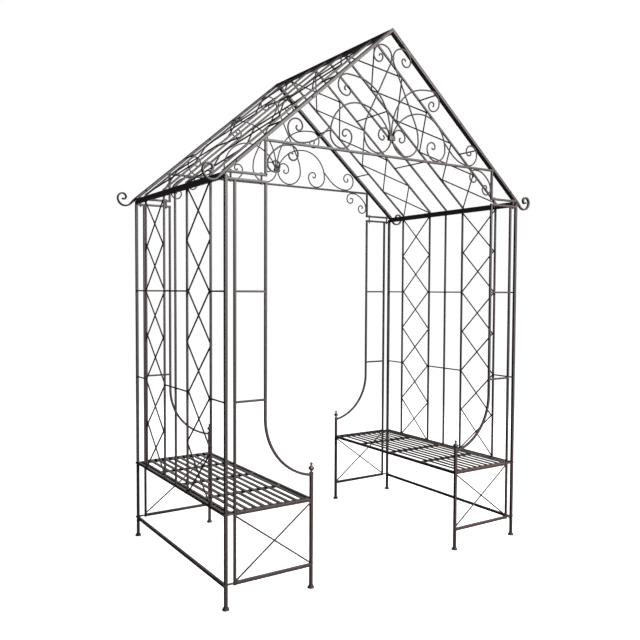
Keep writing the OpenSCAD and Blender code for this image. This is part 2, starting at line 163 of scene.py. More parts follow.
class ArbourFinish(bpy.types.PropertyGroup):
    coat: bpy.props.FloatVectorProperty(
        name="Powder coat", description="Colour of the tubes",
        default=(0.070, 0.057, 0.055), min=0, max=1, size=3, subtype="COLOR")
    rod_coat: bpy.props.FloatVectorProperty(
        name="Rods", description="Colour of the lattice and the scrolls",
        default=(0.050, 0.041, 0.040), min=0, max=1, size=3, subtype="COLOR")
    warm: bpy.props.FloatVectorProperty(
        name="Warm drift", description="Redder tone that the coat drifts to in patches",
        default=(0.092, 0.056, 0.050), min=0, max=1, size=3, subtype="COLOR")
    dust: bpy.props.FloatVectorProperty(
        name="Dust", description="Colour of the dust that settles on top faces",
        default=(0.17, 0.155, 0.15), min=0, max=1, size=3, subtype="COLOR")
    rust: bpy.props.FloatVectorProperty(
        name="Rust", description="Colour of the small rust blooms",
        default=(0.16, 0.055, 0.022), min=0, max=1, size=3, subtype="COLOR")
    roughness: bpy.props.FloatProperty(
        name="Roughness", description="Roughness of the clean coat",
        default=0.52, min=0.1, max=0.9, subtype="FACTOR")


# ---- modelling with the edit-mode tools


def only(obj):
    """Selects one object and nothing else."""
    bpy.ops.object.select_all(action="DESELECT")
    obj.select_set(True)
    bpy.context.view_layer.objects.active = obj


def pick_all():
    bpy.ops.mesh.select_all(action="SELECT")


def extrude(step):
    bpy.ops.mesh.extrude_region_move(TRANSFORM_OT_translate={"value": step})


def round_edges(offset, segments):
    bpy.ops.mesh.bevel(offset=offset, segments=segments, affect="EDGES")


def start_primitive(add, **values):
    bpy.ops.object.select_all(action="DESELECT")
    add(**values)
    bpy.ops.object.transform_apply(location=True, rotation=True, scale=True)
    bpy.ops.object.mode_set(mode="EDIT")
    bpy.ops.mesh.select_mode(type="VERT")
    pick_all()
    return bpy.context.object


def pick_edges(obj, test):
    """In edit mode, leaves only the edges that pass the test selected."""
    bpy.ops.mesh.select_all(action="DESELECT")
    bpy.ops.mesh.select_mode(type="EDGE")
    shape = bmesh.from_edit_mesh(obj.data)
    for edge in shape.edges:
        edge.select = test(edge)
    shape.select_flush_mode()
    bmesh.update_edit_mesh(obj.data)


def pick_faces(obj, test):
    """In edit mode, leaves only the faces that pass the test selected."""
    bpy.ops.mesh.select_all(action="DESELECT")
    bpy.ops.mesh.select_mode(type="FACE")
    shape = bmesh.from_edit_mesh(obj.data)
    for face in shape.faces:
        face.select = test(face)
    shape.select_flush_mode()
    bmesh.update_edit_mesh(obj.data)


def place(obj, matrix):
    """Moves a piece modelled at the origin to its place. The object stays at the origin."""
    bpy.ops.object.mode_set(mode="OBJECT")
    only(obj)
    obj.matrix_world = matrix
    bpy.ops.object.transform_apply(location=True, rotation=True, scale=True)
    return obj


def axes_at(origin, ahead, left):
    """A matrix that takes local +Y to ahead and local -X to left."""
    ahead, left = Vector(ahead).normalized(), Vector(left).normalized()
    right = -left
    normal = right.cross(ahead)
    turn = Matrix((right, ahead, normal)).transposed()
    return Matrix.Translation(Vector(origin)) @ turn.to_4x4()


def bar(start, end, wide, thick, corner, face=None):
    """A straight bar with rounded corners, its thickness along face: Y, or Z if it runs in Y."""
    start, end = Vector(start), Vector(end)
    along = (end - start).normalized()
    if face is None:
        face = UP if abs(along.y) > 0.9 else Vector((0, 1, 0))
    obj = start_primitive(bpy.ops.mesh.primitive_cube_add, size=1)
    bpy.ops.transform.resize(value=(wide, (end - start).length, thick))
    pick_edges(obj, lambda e: abs((e.verts[0].co - e.verts[1].co).y) > 1e-6)
    round_edges(corner, 3)
    return place(obj, axes_at((start + end) / 2, along, along.cross(face)))


def square_ring(wide, thick, corner):
    """A rounded square outline at the origin that faces +Y, ready to be swept."""
    obj = start_primitive(
        bpy.ops.mesh.primitive_plane_add, size=1, rotation=(math.pi / 2, 0, 0))
    bpy.ops.transform.resize(value=(wide, 1, thick))
    bpy.ops.mesh.delete(type="ONLY_FACE")
    pick_all()
    bpy.ops.mesh.bevel(offset=corner, segments=2, affect="VERTICES")
    pick_all()
    return obj


def round_ring(diameter):
    """A round outline at the origin that faces +Y, ready to be swept."""
    facets = bpy.context.scene.arbour_shapes.rod_facets
    return start_primitive(
        bpy.ops.mesh.primitive_circle_add, vertices=facets, radius=diameter / 2,
        rotation=(math.pi / 2, 0, 0))


def sweep(obj, path, degrees_a_step=9.0, heading=math.pi / 2, at=(0.0, 0.0)):
    """Draws the selected outline along straights (0, length) and bends (radius, degrees)."""
    x, y = at
    for radius, amount in path:
        if radius == 0:
            dx, dy = math.cos(heading) * amount, math.sin(heading) * amount
            extrude((dx, dy, 0))
            x, y = x + dx, y + dy
            continue
        turn = math.radians(amount)
        out = radius if turn > 0 else -radius
        cx, cy = x - math.sin(heading) * out, y + math.cos(heading) * out
        steps = max(2, math.ceil(abs(amount) / degrees_a_step))
        bpy.ops.mesh.spin(steps=steps, angle=-turn, center=(cx, cy, 0), axis=(0, 0, 1))
        heading += turn
        x, y = cx + math.sin(heading) * out, cy - math.cos(heading) * out
    return (x, y), heading


def round_tip(at, heading, radius):
    """Draws the end of a swept outline in to a half-round tip."""
    done, share = 0.0, 1.0
    for angle in (0.45, 0.9, 1.3):
        ahead = radius * math.sin(angle) - done
        step = (math.cos(heading) * ahead, math.sin(heading) * ahead, 0)
        extrude(step)
        at = (at[0] + step[0], at[1] + step[1])
        shrink = math.cos(angle) / share
        bpy.ops.transform.resize(value=(shrink,) * 3, center_override=(*at, 0))
        done, share = done + ahead, math.cos(angle)


def close_ends():
    """Fills both open ends of a piece and turns its faces outward."""
    pick_all()
    bpy.ops.mesh.fill_holes(sides=0)
    pick_all()
    bpy.ops.mesh.normals_make_consistent(inside=False)


def close_sweep():
    """Merges the doubled outlines where bends meet straights, then closes the ends."""
    pick_all()
    bpy.ops.mesh.remove_doubles(threshold=1e-6)
    close_ends()


def rod(matrix, path, tip=True, **values):
    """A bent round rod, with a half-round tip where its end shows."""
    obj = round_ring(ROD)
    at, heading = sweep(obj, path, **values)
    if tip:
        round_tip(at, heading, ROD / 2)
    close_sweep()
    return place(obj, matrix)


def straight_rod(start, end):
    start, end = Vector(start), Vector(end)
    along = end - start
    side = UP if abs(along.normalized().z) < 0.9 else Vector((1, 0, 0))
    return rod(axes_at(start, along, side.cross(along)), [(0, along.length)], tip=False)


def cut(obj, point, normal):
    """Cuts a piece along a plane, closes the cut and keeps what lies behind the plane."""
    only(obj)
    bpy.ops.object.mode_set(mode="EDIT")
    pick_all()
    bpy.ops.mesh.bisect(plane_co=point, plane_no=normal, use_fill=True, clear_outer=True)
    bpy.ops.object.mode_set(mode="OBJECT")
    return obj


def joined(objs):
    bpy.ops.object.select_all(action="DESELECT")
    for obj in objs:
        obj.select_set(True)
    bpy.context.view_layer.objects.active = objs[0]
    if len(objs) > 1:
        bpy.ops.object.join()
    return objs[0]


def copied(obj, scale=(1, 1, 1), move=(0, 0, 0)):
    """A copy with its own mesh, mirrored by a negative scale or moved."""
    only(obj)
    bpy.ops.object.duplicate()
    copy = bpy.context.object
    copy.scale = scale
    copy.location = move
    bpy.ops.object.transform_apply(location=True, rotation=True, scale=True)
    if scale[0] * scale[1] * scale[2] < 0:
        bpy.ops.object.mode_set(mode="EDIT")
        pick_all()
        bpy.ops.mesh.normals_make_consistent(inside=False)
        bpy.ops.object.mode_set(mode="OBJECT")
    return copy


def with_mirror(obj, scale):
    """A shape joined with its own mirrored copy."""
    return joined([obj, copied(obj, scale)])


# the material and the slot of each kind of piece
FRAME = ("tube_coat", "frame")
RODS = ("rod_coat", "rods")
SLAT_ROW = ("slat_coat_painted_shade", "slats")
HARDWARE = ("bolt_coat", "hardware")
PLUGS = ("bolt_coat", "frame")


def settle(obj, name, kind, *nodes):
    """Names a finished piece, gives it its finish and ties it to the frame for its CAD node."""
    material, slot = kind
    only(obj)
    obj.name = obj.data.name = name
    obj.data.materials.clear()
    obj.data.materials.append(bpy.data.materials[material])
    bpy.ops.object.shade_smooth_by_angle(angle=math.radians(35))
    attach(obj, "root")
    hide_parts(*nodes)


def settle_sides(right, name, kind, node):
    """Settles a right-hand piece and its mirrored copy on the left."""
    left = copied(right, ACROSS)
    settle(right, name + "_right", kind, node + "_right")
    settle(left, name + "_left", kind, node + "_left")


def settle_ends(front, name, kind, node):
    """Settles a front piece and its mirrored copy at the back."""
    back = copied(front, ENDWISE)
    settle(front, name + "_front", kind, node + "_front")
    settle(back, name + "_back", kind, node + "_back")


def settle_gables(front, name, node):
    """Settles the front gable's scrollwork and its copy moved to the back gable."""
    back = copied(front, move=(0, 2 * POST_Y, 0))
    settle(front, name + "_front", RODS, node + "_front")
    settle(back, name + "_back", RODS, node + "_back")


def settle_corners(piece, name, kind, node):
    """Settles a front right piece and its three mirrored copies."""
    for end, sy in ENDS.items():
        for side, sx in SIDES.items():
            if (end, side) != ("front", "right"):
                copy, corner = copied(piece, (sx, -sy, 1)), f"_{end}_{side}"
                settle(copy, name + corner, kind, node + corner)
    settle(piece, name + "_front_right", kind, node + "_front_right")


def at_all_corners(obj):
    """One piece from a front right shape and its three mirrored copies."""
    return joined([obj, copied(obj, ACROSS), copied(obj, ENDWISE), copied(obj, (-1, -1, 1))])


# ---- node groups and materials


def new_group(name, inputs, outputs):
    group = bpy.data.node_groups.new(name, "ShaderNodeTree")
    for label, kind, default in inputs:
        socket = group.interface.new_socket(name=label, in_out="INPUT", socket_type=kind)
        socket.default_value = default
    for label, kind in outputs:
        group.interface.new_socket(name=label, in_out="OUTPUT", socket_type=kind)
    return group, group.nodes.new("NodeGroupInput"), group.nodes.new("NodeGroupOutput")


def feed(tree, socket, value):
    """Sets a socket to a value, or links it to another node's output."""
    if hasattr(value, "is_output"):
        tree.links.new(value, socket)
    else:
        socket.default_value = value


def noise(tree, coords, scale, detail=3.0, roughness=0.5):
    node = tree.nodes.new("ShaderNodeTexNoise")
    node.inputs["Detail"].default_value = detail
    node.inputs["Roughness"].default_value = roughness
    tree.links.new(coords, node.inputs["Vector"])
    feed(tree, node.inputs["Scale"], scale)
    return node.outputs["Fac"]


def math_node(tree, operation, *values, clamp=False):
    node = tree.nodes.new("ShaderNodeMath")
    node.operation = operation
    node.use_clamp = clamp
    for socket, value in zip(node.inputs, values):
        feed(tree, socket, value)
    return node.outputs[0]


def product(tree, first, *others):
    for other in others:
        first = math_node(tree, "MULTIPLY", first, other)
    return first


def stretch(tree, value, low, high):
    """Spreads value so that low becomes 0 and high becomes 1, held between them."""
    node = tree.nodes.new("ShaderNodeMapRange")
    node.interpolation_type = "SMOOTHSTEP"
    for label, edge in (("Value", value), ("From Min", low), ("From Max", high)):
        feed(tree, node.inputs[label], edge)
    return node.outputs["Result"]


def mixed(tree, mask, first, second):
    node = tree.nodes.new("ShaderNodeMix")
    node.data_type = "RGBA"
    for index, value in ((0, mask), (6, first), (7, second)):
        feed(tree, node.inputs[index], value)
    return node.outputs[2]


def make_grain_group():
    """The faint orange peel of a powder coat: a height made of two sizes of ripple."""
    group, into, out = new_group(
        "coat_grain", [("Scale", "NodeSocketFloat", 900.0)], [("Height", "NodeSocketFloat")])
    coords = group.nodes.new("ShaderNodeTexCoord").outputs["Object"]
    coarse = noise(group, coords, into.outputs["Scale"], detail=1.0)
    fine_scale = math_node(group, "MULTIPLY", into.outputs["Scale"], 2.7)
    fine = noise(group, coords, fine_scale, detail=2.0)
    height = math_node(group, "MULTIPLY_ADD", fine, 0.4, coarse)
    group.links.new(height, out.inputs["Height"])
    return group


def make_weather_group():
    """Masks for warmer patches, for dust on faces that look up and for rust blooms low down."""
    group, into, out = new_group(
        "weather",
        [("Dust", "NodeSocketFloat", 0.5), ("Rust", "NodeSocketFloat", 0.3)],
        [("Drift", "NodeSocketFloat"), ("Dust", "NodeSocketFloat"), ("Rust", "NodeSocketFloat")])
    coords = group.nodes.new("ShaderNodeTexCoord").outputs["Object"]
    patches = stretch(group, noise(group, coords, 5.0, detail=4.0, roughness=0.6), 0.35, 0.72)

    split = group.nodes.new("ShaderNodeSeparateXYZ")
    group.links.new(group.nodes.new("ShaderNodeNewGeometry").outputs["Normal"], split.inputs[0])
    upward = stretch(group, split.outputs["Z"], 0.35, 0.95)
    speckle = stretch(group, noise(group, coords, 140.0, detail=5.0, roughness=0.7), 0.3, 0.75)
    dust = product(group, upward, speckle, into.outputs["Dust"])
    group.links.new(dust, out.inputs["Dust"])

    place_of = group.nodes.new("ShaderNodeSeparateXYZ")
    group.links.new(coords, place_of.inputs[0])
    low_down = stretch(group, place_of.outputs["Z"], 1.1, 0.2)
    lower = math_node(group, "ADD", low_down, 0.35)
    drift = math_node(group, "MULTIPLY", patches, lower, clamp=True)
    group.links.new(drift, out.inputs["Drift"])
    bloom = stretch(group, noise(group, coords, 60.0, detail=6.0, roughness=0.75), 0.58, 0.70)
    share = math_node(group, "MULTIPLY_ADD", low_down, 0.75, 0.25)
    rust = product(group, bloom, share, into.outputs["Rust"])
    group.links.new(rust, out.inputs["Rust"])
    return group


def make_coat(name, colour, roughness, grain_scale, bump, dust, rust):
    finish = bpy.context.scene.arbour_finish
    material = bpy.data.materials.new(name)
    material.use_nodes = True
    tree = material.node_tree
    shader = tree.nodes["Principled BSDF"]
    weather = tree.nodes.new("ShaderNodeGroup")
    weather.node_tree = bpy.data.node_groups["weather"]
    weather.inputs["Dust"].default_value = dust
    weather.inputs["Rust"].default_value = rust
    grain = tree.nodes.new("ShaderNodeGroup")
    grain.node_tree = bpy.data.node_groups["coat_grain"]
    grain.inputs["Scale"].default_value = grain_scale

    drift = math_node(tree, "MULTIPLY", weather.outputs["Drift"], 0.8)
    tone = mixed(tree, drift, (*colour, 1), (*finish.warm, 1))
    tone = mixed(tree, weather.outputs["Rust"], tone, (*finish.rust, 1))
    tone = mixed(tree, weather.outputs["Dust"], tone, (*finish.dust, 1))
    tree.links.new(tone, shader.inputs["Base Color"])

    marks = math_node(tree, "MAXIMUM", weather.outputs["Dust"], weather.outputs["Rust"])
    rough = math_node(tree, "MULTIPLY_ADD", marks, 0.35, roughness)
    tree.links.new(rough, shader.inputs["Roughness"])
    shader.inputs["Coat Weight"].default_value = 0.06
    shader.inputs["Coat Roughness"].default_value = 0.3

    raised = tree.nodes.new("ShaderNodeBump")
    raised.inputs["Strength"].default_value = bump
    raised.inputs["Distance"].default_value = 0.1 * MM
    tree.links.new(grain.outputs["Height"], raised.inputs["Height"])
    tree.links.new(raised.outputs["Normal"], shader.inputs["Normal"])
    return material


class ARBOUR_OT_finishes(bpy.types.Operator):
    """Make the powder coat's node groups and materials"""

    bl_idname = "arbour.finishes"
    bl_label = "Finishes"

    def execute(self, context):
        finish = context.scene.arbour_finish
        make_grain_group()
        make_weather_group()
        tubes, rods, rough = finish.coat, finish.rod_coat, finish.roughness
        # The slats take the rod colour darkened to six tenths: painted shade on the seat's dimly
        # lit top faces.
        slats = [0.6 * part for part in rods]
        make_coat("tube_coat", tubes, rough, grain_scale=700, bump=0.5, dust=0.25, rust=0.35)
        make_coat("rod_coat", rods, rough, grain_scale=1100, bump=0.35, dust=0.20, rust=0.30)
        make_coat(
            "slat_coat_painted_shade", slats, rough + 0.04, grain_scale=800, bump=0.45, dust=0.15, rust=0.25)
        make_coat("bolt_coat", rods, rough - 0.06, grain_scale=1400, bump=0.3, dust=0.25, rust=0.55)
        make_coat("weld_coat", rods, rough + 0.08, grain_scale=500, bump=0.8, dust=0.2, rust=0.6)
        return {"FINISHED"}


# ---- posts, legs, end frames


def tube(start, end, size=None, face=None):
    size = size or TUBE
    return bar(start, end, size, size, bpy.context.scene.arbour_shapes.tube_corner, face)


def solid_bar(start, end, face=None):
    return bar(start, end, BAR, BAR, bpy.context.scene.arbour_shapes.bar_corner, face)


def arm_height():
    return LEG_TOP - LIGHT / 2 - 2 * MM


class ARBOUR_OT_posts(bpy.types.Operator):
    """Build the corner posts, the front legs and the second uprights"""

    bl_idname = "arbour.posts"
    bl_label = "Posts and legs"

    def execute(self, context):
        post = tube((POST_X, -POST_Y, FOOT), (POST_X, -POST_Y, EAVE))
        settle_corners(post, "corner_post", FRAME, "post")
        leg = tube((LEG_X, -POST_Y, FOOT), (LEG_X, -POST_Y, LEG_TOP))
        settle_corners(leg, "front_leg", FRAME, "leg")
        upright = tube((UPRIGHT_X, -POST_Y, LOW), (UPRIGHT_X, -POST_Y, TOP_BAR), LIGHT)
        settle_sides(with_mirror(upright, ENDWISE), "second_upright", FRAME, "uprights")
        return {"FINISHED"}


class ARBOUR_OT_arms(bpy.types.Operator):
    """Build the arm tubes that come down from the top bar and sweep in to the front legs"""

    bl_idname = "arbour.arms"
    bl_label = "Arms"

    def execute(self, context):
        reach = ARM_X - LEG_X
        radius = 1.185 * reach
        sweep_angle = math.acos(1 - reach / radius)
        hoop_top = arm_height() + radius * math.sin(sweep_angle)
        obj = square_ring(LIGHT, LIGHT, context.scene.arbour_shapes.tube_corner)
        path = [(0, TOP_BAR - hoop_top), (radius, -math.degrees(sweep_angle))]
        sweep(obj, path, degrees_a_step=3)
        close_sweep()
        arm = place(obj, axes_at((ARM_X, -POST_Y, TOP_BAR), -UP, (1, 0, 0)))
        settle_corners(arm, "arm_tube", FRAME, "arm")
        return {"FINISHED"}


class ARBOUR_OT_end_rails(bpy.types.Operator):
    """Build the level rails, the rungs and the crossed rods of the end frames"""

    bl_idname = "arbour.end_rails"
    bl_label = "End rails and braces"

    def execute(self, context):
        y = -POST_Y
        near, far = LEG_X + TUBE / 2, UPRIGHT_X - LIGHT / 2
        top = TOP_BAR + LIGHT / 2
        parts = [tube((ARM_X - LIGHT / 2, y, top), (POST_X - TUBE / 2, y, top), LIGHT)]
        for z in PANEL_THIRDS:
            parts.append(solid_bar((ARM_X + LIGHT / 2, y, z), (far, y, z)))
        for z in (SEAT_FRAME - TUBE / 2, LOW + TUBE / 2):
            parts.append(tube((near, y, z), (far, y, z)))
        settle_corners(joined(parts), "end_rails_tube", FRAME, "end_rails")

        slip = ROD * 0.6
        low, high = LOW + TUBE + slip, SEAT_FRAME - TUBE - slip
        near, far = near - 1 * MM, far + 1 * MM
        crossed = joined([
            straight_rod((near, y + LAYER, low), (far, y + LAYER, high)),
            straight_rod((near, y - LAYER, high), (far, y - LAYER, low)),
        ])
        settle_sides(with_mirror(crossed, ENDWISE), "brace_rods", RODS, "braces")
        return {"FINISHED"}


# ---- side panels


def lattice_rods(matrix, width, rise, cells):
    """Two bent rods that cross in each cell. The matrix takes +Y up the column and -X across it."""
    bend = bpy.context.scene.arbour_shapes.bend_radius
    cell = rise / cells
    tip_width = width - ROD
    for _ in range(4):
        lean = math.atan2(tip_width, cell)
        tip_width = width - ROD + 2 * bend * (1 / math.cos(lean) - 1)
    lean_degrees = math.degrees(lean)
    leg = math.hypot(tip_width, cell)
    trim = bend * math.tan(lean)
    path = [(0, leg - trim)]
    side = 1
    for _ in range(cells - 1):
        path += [(bend, -2 * side * lean_degrees), (0, leg - 2 * trim)]
        side = -side
    path[-1] = (0, leg - trim)
    centre = matrix @ Matrix.Translation((-width / 2, 0, 0))
    rods = []
    for side in (1, -1):
        start = Matrix.Translation((side * tip_width / 2, 0, side * LAYER))
        turn = Matrix.Rotation(side * lean, 4, "Z")
        bends = [(r, side * a if r else a) for r, a in path]
        rods.append(rod(centre @ start @ turn, bends, tip=False, degrees_a_step=20))
    return rods


def lattice_columns(start, up, rise, cells):
    """Both lattice columns of a right-hand panel. The back one starts here and runs along up."""
    width = BAR_OUT - BAR_IN - BAR
    column = joined(lattice_rods(axes_at(start, up, (0, 1, 0)), width, rise, cells))
    return with_mirror(column, ENDWISE)


def rung_rods(at, edge):
    """The short level rods at one third of a panel, which leave the lattice columns free."""
    half = BAR / 2
    outer, inner = (BAR_OUT + half, edge), (half, BAR_IN - half)
    spans = ((-outer[1], -outer[0]), (-inner[1], -inner[0]), inner, outer)
    return [straight_rod(at + Vector((0, a, 0)), at + Vector((0, b, 0))) for a, b in spans]


class ARBOUR_OT_side_panels(bpy.types.Operator):
    """Build the rails, bars, rungs and lattice of the two side panels"""

    bl_idname = "arbour.side_panels"
    bl_label = "Side panels"

    def execute(self, context):
        rails = [
            tube((POST_X, -INNER_Y, z), (POST_X, INNER_Y, z))
            for z in (EAVE - TUBE / 2, SEAT_FRAME - TUBE / 2, PANEL_LOW + TUBE / 2)
        ]
        settle_sides(joined(rails), "panel_rails", FRAME, "side_rails")

        one = solid_bar((POST_X, 0, SEAT_FRAME), (POST_X, 0, PANEL_TOP))
        bars = [copied(one, move=(0, y, 0)) for y in BARS_Y if y] + [one]
        for z in PANEL_THIRDS:
            bars += rung_rods(Vector((POST_X, 0, z)), INNER_Y)
        settle_sides(joined(bars), "panel_bars", FRAME, "side_bars")

        pair = lattice_columns((POST_X, COLUMN_FOOT, SEAT_FRAME), UP, PANEL_RISE, SIDE_CELLS)
        settle_sides(pair, "panel_lattice", RODS, "side_lattice")
        return {"FINISHED"}


# ---- benches


class ARBOUR_OT_benches(bpy.types.Operator):
    """Build the seat frames, the cross bars and the slats"""

    bl_idname = "arbour.benches"
    bl_label = "Benches"

    def execute(self, context):
        z = SEAT_FRAME - TUBE / 2
        rails = [tube((x, -INNER_Y, z), (x, INNER_Y, z)) for x in (BACK_X, LEG_X)]
        settle_sides(joined(rails), "seat_rails_tube", FRAME, "seat_rails")

        near, far = LEG_X + TUBE / 2, BACK_X - TUBE / 2
        across = [tube((near, s * SIDE_Y, z), (far, s * SIDE_Y, z)) for s in (-1, 1)]
        light_z = SEAT_FRAME - LIGHT / 2
        for share in SEAT_BAR_SHARES:
            y = share * POST_Y
            across.append(tube((near, y, light_z), (far, y, light_z), LIGHT))
        settle_sides(joined(across), "seat_cross_bars", FRAME, "seat_cross")

        pitch = (SLAT_LAST - SLAT_FIRST - SLAT_WIDE) / (SLATS - 1)
        thick = SEAT - SEAT_FRAME
        x, z = SLAT_FIRST + SLAT_WIDE / 2, SEAT_FRAME + thick / 2
        first = bar((x, -INNER_Y, z), (x, INNER_Y, z), SLAT_WIDE, thick, thick * 0.3)
        row = [first] + [copied(first, move=(i * pitch, 0, 0)) for i in range(1, SLATS)]
        settle_sides(joined(row), "seat_slat_row", SLAT_ROW, "seat_slats")
        return {"FINISHED"}


# ---- roof


def on_slope(distance, y=0.0):
    """A point on the right-hand roof's middle plane, this far down from the apex line."""
    return Vector((0, y, APEX)) + DOWN * distance


class ARBOUR_OT_roof_panels(bpy.types.Operator):
    """Build the rails, bars, rungs and lattice of the two roof panels"""

    bl_idname = "arbour.roof_panels"
    bl_label = "Roof panels"

    def execute(self, context):
        rails = [
            tube((x, -INNER_Y, z), (x, INNER_Y, z))
            for x, z in ((TUBE / 2, RIDGE), (POST_X, EAVE + TUBE / 2))
        ]
        settle_sides(joined(rails), "roof_rails_tube", FRAME, "roof_rails")

        # the sloping tubes and bars reach into the ridge rail and are cut upright at the eave rail
        top, bottom = SLOPE_RIDGE - 4 * MM, SLOPE_EAVE + TUBE
        outer = Vector((POST_X + TUBE / 2 - 0.3 * MM, 0, 0))
        level = Vector((0, 1, 0))
        side = [tube(on_slope(top, y), on_slope(bottom, y), face=level) for y in (-SIDE_Y, SIDE_Y)]
        for rail in side:
            cut(rail, outer, (1, 0, 0))
        settle_sides(joined(side), "roof_side_rails", FRAME, "roof_sides")

        one = solid_bar(on_slope(top), on_slope(bottom), face=level)
        cut(one, outer, (1, 0, 0))
        bars = [copied(one, move=(0, y, 0)) for y in BARS_Y if y] + [one]
        for s in ROOF_THIRDS:
            bars += rung_rods(on_slope(s), INNER_Y - TUBE)
        settle_sides(joined(bars), "roof_slope_bars", FRAME, "roof_bars")

        pair = lattice_columns(on_slope(SLOPE_RIDGE, COLUMN_FOOT), DOWN, SLOPE_RUN, ROOF_CELLS)
        settle_sides(pair, "roof_lattice_rods", RODS, "roof_lattice")
        return {"FINISHED"}


# ---- gables


def rafter_line(x):
    return APEX - FALL * x


class ARBOUR_OT_rafters(bpy.types.Operator):
    """Build the rafters, whose eave ends thin out and roll up into a scroll"""

    bl_idname = "arbour.rafters"
    bl_label = "Rafters"

    def execute(self, context):
        shapes = context.scene.arbour_shapes
        thin = shapes.curl_thickness
        past_post, taper, lead = 14 * MM, 34 * MM, TUBE
        straight = (POST_X + past_post) / math.cos(PITCH) + lead
        obj = square_ring(TUBE, TUBE, shapes.tube_corner)
        sweep(obj, [(0, straight)])
        # the taper keeps the underside straight: the outline narrows towards it as it moves on
        tip = straight + taper
        extrude((0, taper, 0))
        bpy.ops.transform.resize(value=(thin / TUBE, 1, 1), center_override=(TUBE / 2, tip, 0))
        rolls = [(45, math.degrees(PITCH)), (42, 90), (28, 90), (20, 90), (13, 90), (9, 70)]
        path = [(r * MM, a) for r, a in rolls]
        sweep(obj, path, degrees_a_step=6, at=((TUBE - thin) / 2, tip))
        close_sweep()
        rafter = place(obj, axes_at(Vector((0, -POST_Y, APEX)) - DOWN * lead, DOWN, SLOPE_UP))
        cut(rafter, (0, 0, 0), (-1, 0, 0))
        settle_corners(rafter, "rafter_tube", FRAME, "rafter")
        return {"FINISHED"}


class ARBOUR_OT_gable_bars(bpy.types.Operator):
    """Build the tie bars, the risers under them and the short level bars at the risers' feet"""

    bl_idname = "arbour.gable_bars"
    bl_label = "Gable bars"

    def execute(self, context):
        z = (TIE_LOW + TIE_TOP) / 2
        under = TUBE / 2 - 1 * MM
        reach = (APEX - z) / FALL
        tie = tube((-reach, -POST_Y, z), (reach, -POST_Y, z), LIGHT)
        for s in (-1, 1):
            normal = Vector((s * SLOPE_UP.x, 0, SLOPE_UP.z))
            cut(tie, Vector((0, 0, APEX)) - normal * under, normal)
        settle_ends(tie, "tie_bar_tube", FRAME, "tie_bar")

        foot_z = RISER_FOOT + LIGHT / 2
        riser = tube((ARM_X, -POST_Y, foot_z), (ARM_X, -POST_Y, TIE_LOW), LIGHT)
        reach = (APEX - foot_z) / FALL
        level = tube((ARM_X - LIGHT / 2, -POST_Y, foot_z), (reach, -POST_Y, foot_z), LIGHT)
        cut(level, Vector((0, 0, APEX)) - SLOPE_UP * under, SLOPE_UP)
        right = joined([riser, level])
        settle_ends(with_mirror(right, ACROSS), "riser_tubes", FRAME, "risers")
        return {"FINISHED"}


def after(point, heading, radius, turn):
    """Where a bend ends that starts at a point [x, z] with a heading in degrees."""
    h, e = math.radians(heading), math.radians(heading + turn)
    out = radius if turn > 0 else -radius
    across, rise = math.sin(e) - math.sin(h), math.cos(h) - math.cos(e)
    return (point[0] + out * across, point[1] + out * rise)


def gable_axes(point, heading, layer=0.0):
    """Axes in the front gable's plane at [x, z], heading in degrees up from +X."""
    c, s = math.cos(math.radians(heading)), math.sin(math.radians(heading))
    return axes_at((point[0], -POST_Y + layer, point[1]), (c, 0, s), (-s, 0, c))


SINK = 0.05 * MM  # welded rods bed this far into what they touch
DRAWN_HALF_WIDTH = 0.720  # half width of the crest's triangle at which its radii are drawn


def shares_of(radius, shares, turn):
    """The bends of a spiral that winds in from a bend of this radius."""
    return [(share * radius, turn) for share in shares]


